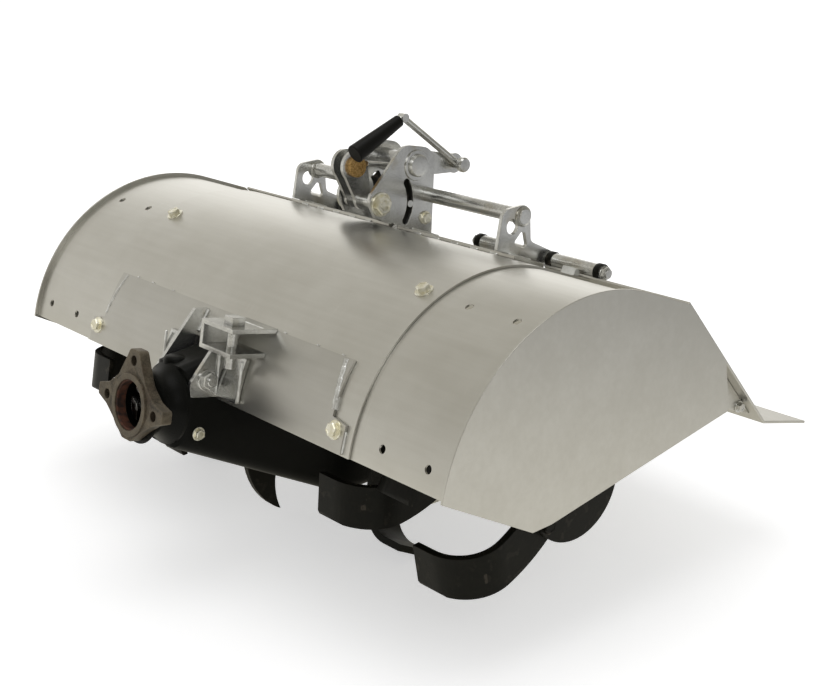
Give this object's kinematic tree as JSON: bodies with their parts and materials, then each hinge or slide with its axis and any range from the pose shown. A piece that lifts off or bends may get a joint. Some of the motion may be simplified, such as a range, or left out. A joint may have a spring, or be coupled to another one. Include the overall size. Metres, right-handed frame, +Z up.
{
  "type": "rotavator",
  "caption": "Rear rotavator for a walking tractor: widening hood over a driven tine rotor, front drive flange, hinged rear flap and depth skid with its lever.",
  "frame": {"origin": "on the floor under the middle of the bounding box, as the machine stands", "axes": "+X along the rotor, -Y towards the drive flange and the tractor, +Z up"},
  "size_m": [0.8, 0.6532, 0.4872],
  "materials": {
    "galvanised": "galvanised sheet, satin",
    "zinc": "zinc plated",
    "black": "black paint",
    "case_casting": "black paint on a casting",
    "bare_iron": "bare, lightly rusted",
    "copper": "copper plated",
    "grip": "moulded grip"
  },
  "bodies": {
    "frame": {"centre_hood": "galvanised", "hood_extension_left": "galvanised", "hood_extension_right": "galvanised", "end_plate_left": "galvanised", "end_plate_right": "galvanised", "front_plate": "galvanised", "clevis_cheek_left": "zinc", "clevis_cheek_right": "zinc", "clevis_bolt": "zinc", "hitch_strap": "zinc", "hitch_pin": "zinc", "gear_case": "case_casting", "drive_neck": "black", "drive_flange": "bare_iron", "hinge_pins": "zinc", "base_strip": "galvanised", "side_bracket_left": "zinc", "side_bracket_right": "zinc", "cross_tubes": "zinc", "sector_plate_left": "zinc", "sector_plate_right": "zinc", "boss_pin": "zinc", "pivot_bolt": "zinc", "slot_pin": "zinc", "rocker_arms": "zinc", "rocker_disc": "copper", "link_rod": "zinc", "lever_arm": "zinc", "lever_rod": "zinc", "lever_grip": "grip", "depth_skid": "zinc"},
    "rotor": {"rotor_shaft": "black", "tine_set_left_outer": "black", "tine_set_left_middle": "black", "tine_set_left_inner": "black", "tine_set_right_inner": "black", "tine_set_right_middle": "black", "tine_set_right_outer": "black"},
    "input": {"input_dog": "black"},
    "flap": {"rear_flap": "galvanised", "flap_cheek_left": "galvanised", "flap_cheek_right": "galvanised", "hinge_tubes": "zinc"}
  },
  "joints": [
    {"name": "rotor_spin", "type": "hinge", "parent": "frame", "child": "rotor", "pos_m": [0, -0.03207, 0.165], "axis": [1, 0, 0], "continuous": true},
    {"name": "input_spin", "type": "hinge", "parent": "frame", "child": "input", "pos_m": [0, -0.32001, 0.2138], "axis": [0, -0.9829, 0.184], "continuous": true},
    {"name": "flap_hinge", "type": "hinge", "parent": "frame", "child": "flap", "pos_m": [0, 0.11483, 0.33611], "axis": [1, 0, 0], "range_deg": [0, 60]}
  ],
  "couplings": [
    {"joint": "input_spin", "follows": "rotor_spin", "ratio": 3.4}
  ]
}
